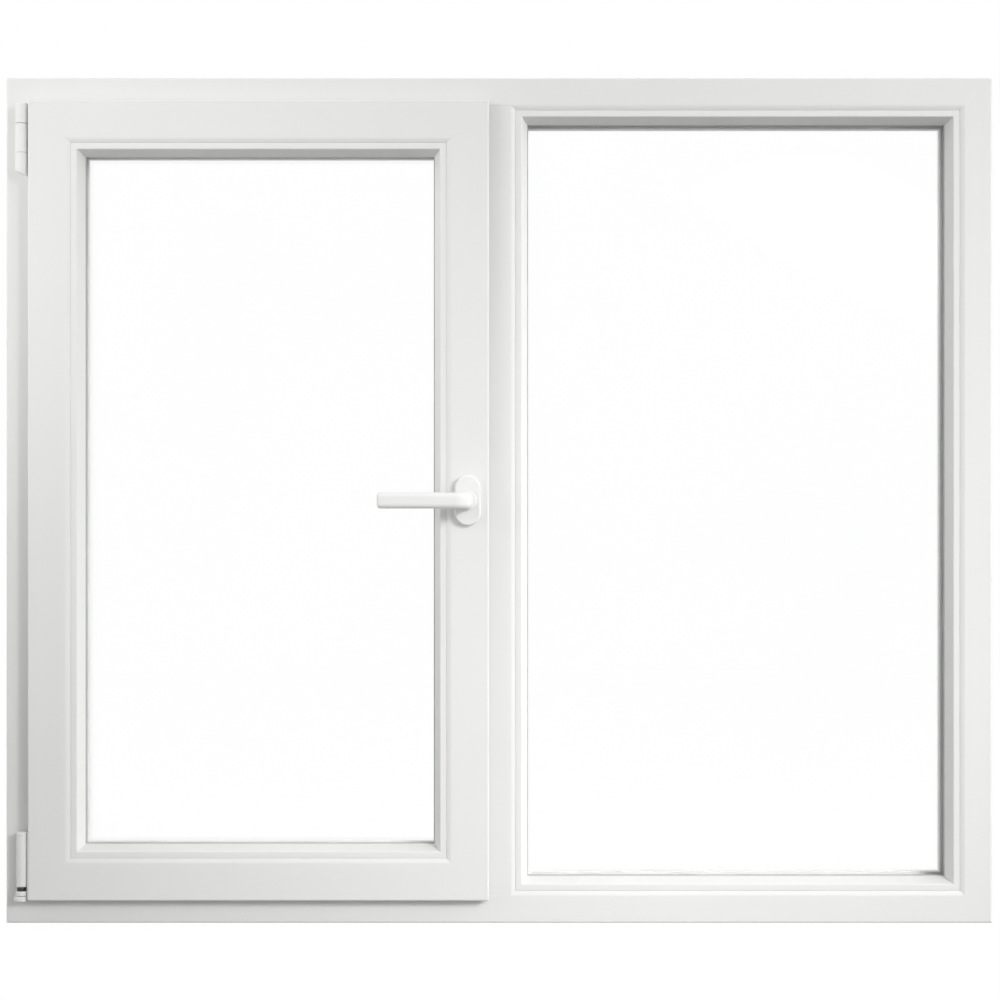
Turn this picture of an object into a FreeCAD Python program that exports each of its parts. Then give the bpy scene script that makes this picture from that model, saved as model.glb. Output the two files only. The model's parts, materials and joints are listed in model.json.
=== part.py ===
"""Tilt and turn window: an opening sash on the left, a fixed pane on the right.

Millimetres, +Z up, +X to the right seen from the room, +Y to the outside.
The origin is in the middle of the sill face that the window stands on in its wall opening.
"""
import FreeCAD
import Part
import math
import os

Vector = FreeCAD.Vector
UP = Vector(0, 0, 1)
RIGHT = Vector(1, 0, 0)
OUTWARD = Vector(0, 1, 0)
TOLERANCE = 0.01

# Overall sizes
frame_width = 1400.0
frame_height = 1200.0
frame_depth = 70.0
mullion_shift = -1.0

# Outer frame and mullion sections
frame_face = 45.5
frame_lip = 18.0
mullion_face = 48.0
face_slope_width = 6.0
face_slope_depth = 2.5
face_slope_round = 10.0
edge_round = 2.5
inner_round = 1.0
joint_bevel = 1.0

# Glazing, set back from the room face of the profile that holds it
glass_setback = 24.0
pane_thickness = 4.0
cavity = 16.0
spacer_height = 6.5
spacer_setback = 3.0
gasket_thickness = 3.0
gasket_height = 8.0
gasket_proud = 1.5
outer_gasket_proud = 0.5
glass_edge_gap = 5.0

# Glazing beads
bead_width = 17.0
bead_flat = 9.0
bead_round = 2.0
bead_foot = 1.5

# Sash section and how it sits in the frame
sash_face = 60.0
sash_lip = 15.0
sash_proud = 20.0
sash_overlap = 10.5
rebate_gap = 12.0
flange_gap = 6.0
lip_gap = 5.0
groove_width = 12.0
groove_depth = 9.0
groove_offset = 13.0

# Seals between sash and frame
seal_width = 4.0
seal_setback = 2.0
seal_clearance = 1.5

# Hinge line: the vertical turn axis and the level tilt axis
hinge_setoff = 10.5
hinge_proud = 11.0
tilt_rise = 9.5
tilt_angle = 8.0
knuckle_radius = 8.5
hinge_pin = 6.0
pin_clearance = 0.3
knuckle_gap = 0.5
knuckle_bevel = 1.2

# Upper hinge, top to bottom: knuckle of the stay arm, bearing, cover cap
upper_drop = 3.5
upper_knuckle = 28.5
upper_bearing = 41.0
upper_cap = 34.0
upper_cap_slope = 9.0

# Stay arm that holds the tilted sash
stay_reach = 400.0
stay_width = 16.0
stay_thickness = 3.0
stay_lift = 5.0
stay_stud = 6.0
stay_stud_depth = 6.0
stay_tab_height = 17.0
stay_tab_run = 29.0
stay_neck = 27.0
stay_slot_width = 9.5
stay_slot_play = 3.0
stay_rail_end = 60.0

# Lower hinge, bottom to top: bearing, swivel, cover on the sash
lower_bearing = 7.0
bearing_flank = 2.0
lower_swivel = 7.0
swivel_bore = 5.2
lower_cover = 77.0
lower_cover_radius = 8.0
swivel_gap = 6.0
strap_thickness = 1.6
strap_width = 11.0
strap_web = 5.5

# Hardware rail, cams and strikers
rail_width = 16.0
rail_thickness = 2.5
cam_radius = 5.0
cam_height = 5.5
cam_spacing = 330.0
striker_length = 60.0
striker_width = 14.0
striker_thickness = 3.0
striker_offset = 45.0
rail_end_gap = 60.0

# Handle
handle_height = 600.0
rose_width = 37.0
rose_height = 71.0
rose_depth = 10.0
rose_bevel = 3.0
collar_radius = 13.0
collar_height = 8.0
lever_length = 125.0
lever_height = 22.5
lever_depth = 14.0
lever_round = 6.5
lever_tip_bevel = 3.5
lever_projection = 50.0
lever_bend = 16.0
lever_gap = 0.5

# Drain covers on the outside of the sill
drain_length = 42.0
drain_height = 13.0
drain_proud = 4.0
drain_inset = 220.0

# Places worked out from the sizes above
room_y = -frame_depth / 2
half_width = frame_width / 2
glass_thickness = 2 * pane_thickness + cavity
lip_front = glass_setback + 2 * gasket_thickness + glass_thickness
sash_room_y = room_y - sash_proud
sash_depth = sash_proud + lip_front - lip_gap
flange_thickness = sash_proud - flange_gap
flange_width = sash_overlap + rebate_gap
mullion_left = mullion_shift - mullion_face / 2
mullion_right = mullion_shift + mullion_face / 2
sash_left = -half_width + frame_face - sash_overlap
sash_right = mullion_left + sash_overlap
sash_bottom = frame_face - sash_overlap
sash_top = frame_height - frame_face + sash_overlap
hinge_x = sash_left - hinge_setoff
hinge_y = room_y - hinge_proud
knuckle_bottom = sash_top - upper_drop - upper_knuckle
tilt_z = sash_bottom + tilt_rise
groove_y = sash_room_y + flange_thickness + groove_offset
body_top = sash_top - flange_width
body_right = sash_right - flange_width
stay_bottom = body_top + stay_lift
stay_top = stay_bottom + stay_thickness
stay_setback = groove_y - hinge_y
stay_radius = math.hypot(stay_reach, stay_setback)
tilt_turn = math.radians(tilt_angle)
tilted_setback = stay_setback * math.cos(tilt_turn) - (body_top - tilt_z) * math.sin(tilt_turn)
stay_swing = math.atan2(stay_setback, stay_reach) - math.asin(tilted_setback / stay_radius)
stay_slot_travel = stay_reach - stay_radius * math.cos(math.asin(tilted_setback / stay_radius))
handle_x = sash_right - sash_face / 2

frame_rect = (-half_width, 0.0, half_width, frame_height)
sash_rect = (sash_left, sash_bottom, sash_right, sash_top)
sash_glass_rect = (sash_left + sash_face, sash_bottom + sash_face,
                   sash_right - sash_face, sash_top - sash_face)
fixed_glass_rect = (mullion_right, frame_face,
                    half_width - frame_face, frame_height - frame_face)
SIDES = ("sill", "right", "head", "left")


def outline(corners):
    """Closed list of edges through (u, v, radius) corners, each rounded by a tangent arc."""
    points = []
    count = len(corners)
    for i in range(count):
        u, v, radius = corners[i]
        here = Vector(0, v, u)
        back = Vector(0, corners[i - 1][1], corners[i - 1][0]) - here
        ahead = Vector(0, corners[(i + 1) % count][1], corners[(i + 1) % count][0]) - here
        if radius <= 0:
            points.append((here, None, here))
            continue
        back.normalize()
        ahead.normalize()
        half_turn = back.getAngle(ahead) / 2
        run = radius / math.tan(half_turn)
        middle = back + ahead
        middle.normalize()
        peak = here + middle * (radius / math.sin(half_turn) - radius)
        points.append((here + back * run, peak, here + ahead * run))
    edges = []
    for i in range(count):
        start, peak, end = points[i]
        if peak is not None:
            edges.append(Part.Arc(start, peak, end).toShape())
        following = points[(i + 1) % count][0]
        if (following - end).Length > 1e-6:
            edges.append(Part.makeLine(end, following))
    return Part.Face(Part.Wire(edges))


def mitred_bar(section, y, length, reach):
    """A profile along +X from the origin, cut at 45 degrees at both ends."""
    bar = section.extrude(Vector(length, 0, 0))
    bar.translate(Vector(0, y, 0))
    depth = bar.BoundBox.YLength + 2
    wedge = Part.makePolygon([
        Vector(0, bar.BoundBox.YMin - 1, 0),
        Vector(length, bar.BoundBox.YMin - 1, 0),
        Vector(length - reach, bar.BoundBox.YMin - 1, reach),
        Vector(reach, bar.BoundBox.YMin - 1, reach),
        Vector(0, bar.BoundBox.YMin - 1, 0)])
    return bar.common(Part.Face(wedge).extrude(Vector(0, depth, 0)))


def mitred_loop(section, y, rect):
    """Four mitred bars around a rectangle, in the order of SIDES."""
    x0, z0, x1, z1 = rect
    reach = section.BoundBox.ZMax + 1
    places = ((x1 - x0, 0, x0, z0), (z1 - z0, -90, x1, z0),
              (x1 - x0, 180, x1, z1), (z1 - z0, 90, x0, z1))
    bars = []
    for length, turn, x, z in places:
        bar = mitred_bar(section, y, length, reach)
        bar.rotate(Vector(0, 0, 0), OUTWARD, turn)
        bar.translate(Vector(x, 0, z))
        bars.append(bar)
    return bars


def ring(section, y, rect):
    """One closed loop of a profile around a rectangle."""
    bars = mitred_loop(section, y, rect)
    return bars[0].multiFuse(bars[1:]).removeSplitter()


def inset(rect, distance):
    x0, z0, x1, z1 = rect
    return (x0 + distance, z0 + distance, x1 - distance, z1 - distance)


def box(x0, x1, y0, y1, z0, z1):
    return Part.makeBox(x1 - x0, y1 - y0, z1 - z0, Vector(x0, y0, z0))


def rod(radius, length, start, direction):
    return Part.makeCylinder(radius, length, start, direction)


def export(shape, node):
    solids = shape.Solids
    if len(solids) == 1:
        shape = solids[0]
    shape.exportStep("parts/%s.step" % node)
    print("%-24s %9.0f mm3, %d solid(s)" % (node, shape.Volume, len(solids)))


# Outer frame: an L section with its glazing and sash rebate to the room, its face sloped towards the glass

def frame_section():
    return outline([
        (0, 0, edge_round),
        (0, frame_depth, edge_round),
        (frame_face + frame_lip, frame_depth, edge_round),
        (frame_face + frame_lip, lip_front, 0),
        (frame_face, lip_front, 0),
        (frame_face, face_slope_depth, joint_bevel),
        (frame_face - face_slope_width, 0, face_slope_round)])


def make_frame():
    return mitred_loop(frame_section(), room_y, frame_rect)


def make_mullion(sill, head):
    """A T section between sill and head, milled at its ends to fit over their lips."""
    half = mullion_face / 2
    section = outline([
        (-half + face_slope_width, 0, face_slope_round),
        (-half, face_slope_depth, joint_bevel),
        (-half, lip_front, 0),
        (-half - frame_lip, lip_front, 0),
        (-half - frame_lip, frame_depth, edge_round),
        (half + frame_lip, frame_depth, edge_round),
        (half + frame_lip, lip_front, 0),
        (half, lip_front, 0),
        (half, face_slope_depth, joint_bevel),
        (half - face_slope_width, 0, face_slope_round)])
    start = frame_face - face_slope_width
    bar = section.extrude(Vector(frame_height - 2 * start, 0, 0))
    bar.rotate(Vector(0, 0, 0), OUTWARD, -90)
    bar.translate(Vector(mullion_shift, room_y, start))
    return bar.cut(sill).cut(head)


# Sash: a Z section that laps over the frame's face, with the hardware groove round its edge

def sash_section():
    groove_front = flange_thickness + groove_offset - groove_width / 2
    groove_back = groove_front + groove_width
    return outline([
        (0, 0, edge_round),
        (0, flange_thickness, inner_round),
        (flange_width, flange_thickness, 0),
        (flange_width, groove_front, 0),
        (flange_width + groove_depth, groove_front, 0),
        (flange_width + groove_depth, groove_back, 0),
        (flange_width, groove_back, 0),
        (flange_width, sash_depth, edge_round),
        (sash_face + sash_lip, sash_depth, edge_round),
        (sash_face + sash_lip, lip_front, 0),
        (sash_face, lip_front, 0),
        (sash_face, face_slope_depth, joint_bevel),
        (sash_face - face_slope_width, 0, face_slope_round)])


# Glazing: beads, gaskets, panes and the spacer between them

def bead_section():
    return outline([
        (0, face_slope_depth, joint_bevel),
        (0, glass_setback, 0),
        (bead_width, glass_setback, 0),
        (bead_width, glass_setback - bead_foot, 0),
        (bead_flat, face_slope_depth, bead_round)])


def gasket_section(top):
    return outline([
        (top - gasket_height, 0, 0),
        (top - gasket_height, gasket_thickness, 0),
        (top, gasket_thickness, 0),
        (top, 0, gasket_thickness / 3)])


def make_glazing(prefix, room, rect, lip):
    """All the pieces that fill one opening, by node name."""
    pieces = {}
    for side, bar in zip(SIDES, mitred_loop(bead_section(), room, rect)):
        pieces["%s_bead_%s" % (prefix, side)] = bar
    pane_room = room + glass_setback + gasket_thickness
    pane_out = pane_room + pane_thickness + cavity
    room_section = gasket_section(bead_width + gasket_proud)
    pieces[prefix + "_gasket_room"] = ring(room_section, room + glass_setback, rect)
    outer_section = gasket_section(lip + outer_gasket_proud)
    pieces[prefix + "_gasket_outer"] = ring(outer_section, pane_out + pane_thickness, rect)
    x0, z0, x1, z1 = inset(rect, glass_edge_gap)
    pieces[prefix + "_pane_room"] = box(x0, x1, pane_room, pane_room + pane_thickness, z0, z1)
    pieces[prefix + "_pane_outer"] = box(x0, x1, pane_out, pane_out + pane_thickness, z0, z1)
    spacer = outline([
        (spacer_setback, 0, 0),
        (spacer_setback, cavity, 0),
        (spacer_setback + spacer_height, cavity, 0),
        (spacer_setback + spacer_height, 0, 0)])
    pieces[prefix + "_spacer"] = ring(spacer, pane_room + pane_thickness, (x0, z0, x1, z1))
    return pieces


# Seals: one on the frame's lip, one behind the sash flange

def make_frame_seal():
    opening = (-half_width + frame_face, frame_face, mullion_left, frame_height - frame_face)
    start = frame_lip - seal_setback - seal_width
    section = outline([
        (start, lip_gap - seal_clearance, 0),
        (start + seal_width, lip_gap - seal_clearance, 0),
        (start + seal_width, 0, seal_width / 4),
        (start, 0, seal_width / 4)])
    return ring(section, room_y + lip_front - lip_gap + seal_clearance, opening)


def make_sash_seal():
    section = outline([
        (seal_setback, 0, 0),
        (seal_setback, flange_gap - seal_clearance, seal_width / 4),
        (seal_setback + seal_width, flange_gap - seal_clearance, seal_width / 4),
        (seal_setback + seal_width, 0, 0)])
    loop = ring(section, room_y - flange_gap, sash_rect)
    notch = box(hinge_x, sash_left + flange_width, room_y - flange_gap - 1, room_y,
                stay_top - stay_tab_height - rebate_gap / 2, stay_top + rebate_gap / 2)
    return loop.cut(notch)


# Hinge pieces on the vertical turn axis

def barrel(bottom, height, x, radius):
    return rod(radius, height, Vector(x, hinge_y, bottom), UP)


def bevel_rims(shape, heights):
    """Bevels the round rims at the given heights."""
    rims = []
    for edge in shape.Edges:
        level = edge.BoundBox.ZLength < TOLERANCE and edge.BoundBox.YMin < room_y - TOLERANCE
        if level and any(abs(edge.BoundBox.ZMin - height) < TOLERANCE for height in heights):
            rims.append(edge)
    return shape.makeChamfer(knuckle_bevel, rims)


def frame_cover(bottom, height, flank):
    """A bar round in front that runs straight back to the frame's face, with a flank to its left."""
    left = hinge_x - knuckle_radius - flank
    right = hinge_x + knuckle_radius
    front = hinge_y - knuckle_radius
    section = outline([
        (left, room_y, 0),
        (left, front, knuckle_radius),
        (right, front, knuckle_radius),
        (right, room_y, 0)])
    section.rotate(Vector(0, 0, 0), OUTWARD, 90)
    section.translate(Vector(0, 0, bottom))
    return section.extrude(Vector(0, 0, height))


def make_upper_hinge():
    """The bearing with its pin, and the cap below it with a slanted end."""
    bearing_top = knuckle_bottom - knuckle_gap
    bearing_bottom = bearing_top - upper_bearing
    bearing = bevel_rims(frame_cover(bearing_bottom, upper_bearing, 0), (bearing_top,))
    pin_length = upper_bearing + upper_knuckle / 2
    bearing = bearing.fuse(rod(hinge_pin / 2, pin_length, Vector(hinge_x, hinge_y, bearing_bottom), UP))
    cap_bottom = bearing_bottom - upper_cap
    cap = bevel_rims(frame_cover(cap_bottom, upper_cap, 0), (bearing_bottom,))
    front = hinge_y - knuckle_radius
    slope = Part.makePolygon([
        Vector(hinge_x - knuckle_radius, front, cap_bottom),
        Vector(hinge_x - knuckle_radius, front, cap_bottom + upper_cap_slope),
        Vector(hinge_x + knuckle_radius, front, cap_bottom),
        Vector(hinge_x - knuckle_radius, front, cap_bottom)])
    below = Part.Face(slope).extrude(Vector(0, room_y - front, 0))
    return bearing.removeSplitter(), cap.cut(below).removeSplitter()


def make_stay_arm():
    """Knuckle, and the arm: a tab through the flange gap, a flat bar and the stud at its end."""
    solid = barrel(knuckle_bottom, upper_knuckle, hinge_x, knuckle_radius)
    knuckle = bevel_rims(solid, (knuckle_bottom + upper_knuckle,))
    bore = rod(hinge_pin / 2 + pin_clearance, upper_knuckle / 2 + knuckle_gap,
               Vector(hinge_x, hinge_y, knuckle_bottom), UP)
    tab_back = room_y - flange_gap / 2 + stay_thickness / 2
    tab_front = tab_back - stay_thickness
    tab_bottom = stay_top - stay_tab_height
    arm = box(hinge_x, hinge_x + stay_tab_run, tab_front, tab_back, tab_bottom, stay_top)
    root = box(hinge_x, hinge_x + stay_tab_run, hinge_y, tab_back, tab_bottom, stay_top)
    collar = rod(knuckle_radius + stay_thickness / 2, stay_tab_height, Vector(hinge_x, hinge_y, tab_bottom), UP)
    arm = arm.fuse(root.common(collar))
    end_x = hinge_x + stay_reach
    start_x = hinge_x + stay_neck
    front = groove_y - stay_width / 2
    arm = arm.fuse(box(start_x, end_x, front, front + stay_width, stay_bottom, stay_top))
    arm = arm.fuse(rod(stay_width / 2, stay_thickness, Vector(end_x, groove_y, stay_bottom), UP))
    arm = arm.fuse(box(start_x, start_x + stay_width, tab_front, front, stay_bottom, stay_top))
    stud_length = stay_lift + stay_stud_depth
    arm = arm.fuse(rod(stay_stud / 2, stud_length, Vector(end_x, groove_y, stay_bottom - stud_length), UP))
    return knuckle.cut(bore), arm.cut(solid).removeSplitter()


def make_stay_rail():
    """The plate over the groove of the top rail, with the slot that the stud slides in."""
    end_x = hinge_x + stay_reach
    low_y = groove_y - rail_width / 2
    slot_start = end_x - stay_slot_travel - stay_slot_play
    plate = box(slot_start - stay_rail_end, end_x + stay_rail_end,
                low_y, low_y + rail_width, body_top, body_top + rail_thickness)
    radius = stay_slot_width / 2
    slot = box(slot_start, end_x, groove_y - radius, groove_y + radius,
               body_top, body_top + rail_thickness)
    for x in (slot_start, end_x):
        slot = slot.fuse(rod(radius, rail_thickness, Vector(x, groove_y, body_top), UP))
    return plate.cut(slot)


def make_lower_hinge():
    """Bearing on the frame, swivel with its level trunnion, and the cover with its sash strap."""
    swivel_bottom = tilt_z - lower_swivel / 2
    bearing_top = swivel_bottom - knuckle_gap
    bearing_bottom = bearing_top - lower_bearing
    bearing = frame_cover(bearing_bottom, lower_bearing, bearing_flank)
    pin_length = lower_bearing + knuckle_gap + swivel_bore
    bearing = bearing.fuse(rod(hinge_pin / 2, pin_length, Vector(hinge_x, hinge_y, bearing_bottom), UP))

    strap_left = sash_left - strap_thickness
    trunnion = rod(hinge_pin / 2, sash_left - hinge_x, Vector(hinge_x, hinge_y, tilt_z), RIGHT)
    bore = rod(hinge_pin / 2 + pin_clearance, swivel_bore + knuckle_gap,
               Vector(hinge_x, hinge_y, swivel_bottom), UP)
    swivel = barrel(swivel_bottom, lower_swivel, hinge_x, knuckle_radius).fuse(trunnion).cut(bore)

    cover_bottom = swivel_bottom + lower_swivel + swivel_gap
    cover_top = cover_bottom + lower_cover
    cover_x = strap_left - lower_cover_radius
    solid = barrel(cover_bottom, lower_cover, cover_x, lower_cover_radius)
    cover = bevel_rims(solid, (cover_bottom, cover_top))
    strap_front = hinge_y - strap_width / 2
    strap_bottom = sash_bottom + edge_round
    strap = box(strap_left, sash_left, strap_front, strap_front + strap_width,
                strap_bottom, cover_top - knuckle_bevel)
    hole = rod(hinge_pin / 2 + pin_clearance, strap_thickness, Vector(strap_left, hinge_y, tilt_z), RIGHT)
    web = box(cover_x, sash_left, hinge_y - strap_web / 2, hinge_y + strap_web / 2,
              cover_bottom + knuckle_bevel, cover_top - knuckle_bevel)
    strap = strap.cut(hole).fuse(web.cut(solid))
    return bearing.removeSplitter(), swivel.removeSplitter(), cover, strap.removeSplitter()


# Locking hardware in the edge of the sash and on the frame

def cam_heights():
    return [handle_height + step * cam_spacing for step in (-1, 0, 1)]


def make_lock_rail():
    """The rail over the groove of the lock stile, with its cams."""
    low_y = groove_y - rail_width / 2
    low_z = sash_bottom + flange_width + rail_end_gap
    high_z = body_top - rail_end_gap
    rail = box(body_right, body_right + rail_thickness, low_y, low_y + rail_width, low_z, high_z)
    for z in cam_heights():
        rail = rail.fuse(rod(cam_radius, rail_thickness + cam_height, Vector(body_right, groove_y, z), RIGHT))
    return rail.removeSplitter()


def make_strikers():
    """One plate beside each cam, screwed to the mullion."""
    plates = []
    low_y = groove_y - striker_width / 2
    low_y = max(low_y, room_y + joint_bevel)
    for z in cam_heights():
        middle = z + striker_offset
        plates.append(box(mullion_left - striker_thickness, mullion_left, low_y, low_y + striker_width,
                          middle - striker_length / 2, middle + striker_length / 2))
    return Part.makeCompound(plates)


# Handle: an oval rose and a lever that turns on it

def oval(width, height, y):
    """An upright oval face, its ends half round, centred on the handle's axis."""
    radius = width / 2
    rise = height / 2 - radius
    top = Vector(handle_x, y, handle_height + rise)
    low = Vector(handle_x, y, handle_height - rise)
    left = Vector(-radius, 0, 0)
    edges = [
        Part.Arc(top + left, top + UP * radius, top - left).toShape(),
        Part.makeLine(top - left, low - left),
        Part.Arc(low - left, low - UP * radius, low + left).toShape(),
        Part.makeLine(low + left, top + left)]
    return Part.Face(Part.Wire(edges))


def make_rose():
    plate = oval(rose_width, rose_height, sash_room_y).extrude(Vector(0, -rose_depth, 0))
    front = [edge for edge in plate.Edges if edge.BoundBox.YMax < sash_room_y - rose_depth + TOLERANCE]
    return plate.makeChamfer(rose_bevel, front)


def make_lever():
    """A round collar, and a flat bar that bends out of it and points to the hinges."""
    start_y = sash_room_y - rose_depth - lever_gap
    arm_y = sash_room_y - lever_projection
    bend_x = handle_x - lever_bend
    bend_y = arm_y + lever_bend
    tip_x = handle_x - lever_length
    half_height = lever_height / 2
    half_depth = lever_depth / 2
    section = outline([
        (-half_height, -half_depth, lever_round),
        (half_height, -half_depth, lever_round),
        (half_height, half_depth, lever_round),
        (-half_height, half_depth, lever_round)])
    section.translate(Vector(bend_x, arm_y, handle_height))
    arm = section.extrude(Vector(tip_x - bend_x, 0, 0))
    tip = [edge for edge in arm.Edges if edge.BoundBox.XMax < tip_x + lever_tip_bevel / 2]
    arm = arm.makeChamfer(lever_tip_bevel, tip)
    bend = section.revolve(Vector(bend_x, bend_y, handle_height), UP, 90)
    section.rotate(Vector(bend_x, bend_y, handle_height), UP, 90)
    neck = section.extrude(Vector(0, start_y - bend_y, 0))
    collar = rod(collar_radius, collar_height, Vector(handle_x, start_y, handle_height), -OUTWARD)
    return arm.fuse([bend, neck, collar]).removeSplitter()


# Drain covers on the outside face of the sill

def make_drain_covers():
    covers = []
    middle_z = frame_face / 2
    out_y = room_y + frame_depth
    for x in (-half_width + drain_inset, mullion_shift, half_width - drain_inset):
        hood = Part.makePolygon([
            Vector(x - drain_length / 2, out_y, middle_z - drain_height / 2),
            Vector(x - drain_length / 2, out_y + drain_proud, middle_z - drain_height / 2),
            Vector(x - drain_length / 2, out_y + drain_proud / 2, middle_z + drain_height / 2),
            Vector(x - drain_length / 2, out_y, middle_z + drain_height / 2),
            Vector(x - drain_length / 2, out_y, middle_z - drain_height / 2)])
        covers.append(Part.Face(hood).extrude(Vector(drain_length, 0, 0)))
    return Part.makeCompound(covers)


def main():
    os.makedirs("parts", exist_ok=True)
    frame = dict(zip(SIDES, make_frame()))
    nodes = {
        "frame_sill": frame["sill"],
        "frame_head": frame["head"],
        "frame_hinge_jamb": frame["left"],
        "frame_fixed_jamb": frame["right"],
        "mullion": make_mullion(frame["sill"], frame["head"]),
        "frame_seal": make_frame_seal(),
        "sash_seal": make_sash_seal(),
        "stay_rail": make_stay_rail(),
        "lock_rail": make_lock_rail(),
        "strikers": make_strikers(),
        "handle_rose": make_rose(),
        "handle_lever": make_lever(),
        "drain_covers": make_drain_covers()}
    sash = dict(zip(SIDES, mitred_loop(sash_section(), sash_room_y, sash_rect)))
    nodes["sash_bottom_rail"] = sash["sill"]
    nodes["sash_top_rail"] = sash["head"]
    nodes["sash_hinge_stile"] = sash["left"]
    nodes["sash_lock_stile"] = sash["right"]
    nodes["upper_hinge_bearing"], nodes["upper_hinge_cap"] = make_upper_hinge()
    nodes["upper_hinge_knuckle"], nodes["stay_arm"] = make_stay_arm()
    lower_names = ("bearing", "swivel", "cover", "strap")
    for name, shape in zip(lower_names, make_lower_hinge()):
        nodes["lower_hinge_" + name] = shape
    nodes.update(make_glazing("sash", sash_room_y, sash_glass_rect, sash_lip))
    nodes.update(make_glazing("fixed", room_y, fixed_glass_rect, frame_lip))
    for node, shape in nodes.items():
        export(shape, node)
    print("stay arm swings %.2f degrees for each degree of tilt" % (math.degrees(stay_swing) / tilt_angle))


main()
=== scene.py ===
# %% [markdown]
# # A tilt and turn window, dressed
# The window is a white plastic frame with an opening sash on the left and a fixed pane on the right.
# Its bodies, joints and sizes come from a measured model. This lesson gives every piece its finished
# form and its finish. Nothing is fitted by eye: a new piece takes its place from the measured piece
# that it stands for.

# %% Load the measured window
import json
import math

import bmesh
import bpy
from mathutils import Matrix, Vector


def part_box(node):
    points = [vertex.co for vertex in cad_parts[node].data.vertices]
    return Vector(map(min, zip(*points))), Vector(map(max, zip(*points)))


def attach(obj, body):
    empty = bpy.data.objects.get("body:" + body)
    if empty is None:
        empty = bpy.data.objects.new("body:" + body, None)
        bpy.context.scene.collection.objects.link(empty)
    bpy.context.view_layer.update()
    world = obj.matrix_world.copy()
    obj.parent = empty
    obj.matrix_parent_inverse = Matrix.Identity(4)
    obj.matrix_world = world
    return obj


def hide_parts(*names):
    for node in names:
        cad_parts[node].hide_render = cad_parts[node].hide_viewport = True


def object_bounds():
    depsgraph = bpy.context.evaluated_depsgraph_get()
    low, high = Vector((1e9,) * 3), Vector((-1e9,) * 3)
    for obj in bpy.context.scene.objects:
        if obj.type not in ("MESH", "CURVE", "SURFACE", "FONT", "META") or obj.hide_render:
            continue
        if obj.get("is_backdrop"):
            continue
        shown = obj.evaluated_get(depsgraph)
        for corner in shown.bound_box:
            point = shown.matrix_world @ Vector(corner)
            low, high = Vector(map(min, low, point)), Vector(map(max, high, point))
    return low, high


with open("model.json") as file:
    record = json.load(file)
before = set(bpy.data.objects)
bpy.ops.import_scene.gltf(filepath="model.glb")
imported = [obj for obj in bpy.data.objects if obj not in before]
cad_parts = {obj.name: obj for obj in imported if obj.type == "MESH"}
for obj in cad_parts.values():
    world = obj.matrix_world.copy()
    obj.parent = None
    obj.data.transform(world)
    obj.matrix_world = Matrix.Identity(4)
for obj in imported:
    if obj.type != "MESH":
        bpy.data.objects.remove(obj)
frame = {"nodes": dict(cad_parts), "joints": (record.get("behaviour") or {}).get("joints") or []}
cad_low, cad_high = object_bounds()
nodes = frame["nodes"]

# %% [markdown]
# ## The camera
# The photo was taken straight on from the room, from the height of the window's middle. The sash stands
# nearer to the camera than the frame and looks a little larger for it, which gives the distance. A long
# lens at that distance could be set by its angle of view, but setting it from the width that the
# picture shows keeps the two tied together.

# %% Camera
IMAGE_WIDTH_AT_FACE = 1.4199
CAMERA_DISTANCE = 2.85
CAMERA_OFFSET = Vector((0.0011, 0, 0.6006))
SENSOR = 36.0

room_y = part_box("frame_sill")[0].y
camera_data = bpy.data.cameras.new("room_camera")
camera_data.sensor_width = SENSOR
camera_data.lens = SENSOR * CAMERA_DISTANCE / IMAGE_WIDTH_AT_FACE
camera = bpy.data.objects.new("room_camera", camera_data)
camera.location = CAMERA_OFFSET + Vector((0, room_y - CAMERA_DISTANCE, 0))
camera.rotation_euler = (math.radians(90), 0, 0)
bpy.context.scene.collection.objects.link(camera)
bpy.context.scene.camera = camera
print("lens %.1f mm at %.2f m" % (camera_data.lens, CAMERA_DISTANCE))

# %% [markdown]
# ## The light
# White plastic shows its shape only through the balance of light, so the light comes first. In the
# photo the shadows lie to the left of the handle and under the sash, so the key lamp stands far off to
# the upper right, and its narrow beam fades towards the upper left. Two weak lamps fill the hinge side
# and the foot of the sash. One lamp alone would leave the slopes that face away black, so the sky is
# brighter to both sides than ahead and lifts them. Behind the window it is even. To the camera, and in
# glass and metal, the whole sky is plain white.

# %% World
SKY_LEVEL = 0.155
SKY_SIDES = 2.4
SKY_RISE = Vector((0.04, 0.05, -0.02))
SKY_BEHIND = 0.86
BLEND_STEEPNESS = 2.0
SKY_TINT = (1, 0.998, 0.99, 1)

bpy.context.scene.view_settings.view_transform = "Standard"
world = bpy.data.worlds.new("studio")
bpy.context.scene.world = world
world.use_nodes = True
sky = world.node_tree.nodes
sky.clear()
sky_links = world.node_tree.links


def sky_math(operation, first, second):
    """A Math node of the sky, fed by sockets or plain numbers."""
    node = sky.new("ShaderNodeMath")
    node.operation = operation
    for socket, value in zip(node.inputs, (first, second)):
        if isinstance(value, (int, float)):
            socket.default_value = value
        else:
            sky_links.new(value, socket)
    return node.outputs[0]


direction = sky.new("ShaderNodeTexCoord").outputs["Generated"]
facing = sky.new("ShaderNodeVectorMath")
facing.operation = "DOT_PRODUCT"
facing.inputs[1].default_value = SKY_RISE
sky_links.new(direction, facing.inputs[0])
apart = sky.new("ShaderNodeSeparateXYZ")
sky_links.new(direction, apart.inputs[0])
sideways = sky_math("MULTIPLY", apart.outputs["X"], apart.outputs["X"])
level = sky_math("ADD", sky_math("MULTIPLY", sideways, SKY_SIDES), SKY_LEVEL)
level = sky_math("ADD", level, facing.outputs["Value"])
behind = sky_math("ADD", sky_math("MULTIPLY", apart.outputs["Y"], BLEND_STEEPNESS), 0.5)
behind = sky_math("MINIMUM", sky_math("MAXIMUM", behind, 0), 1)
ahead_share = sky_math("MULTIPLY", level, sky_math("SUBTRACT", 1, behind))
level = sky_math("ADD", ahead_share, sky_math("MULTIPLY", behind, SKY_BEHIND))

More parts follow.
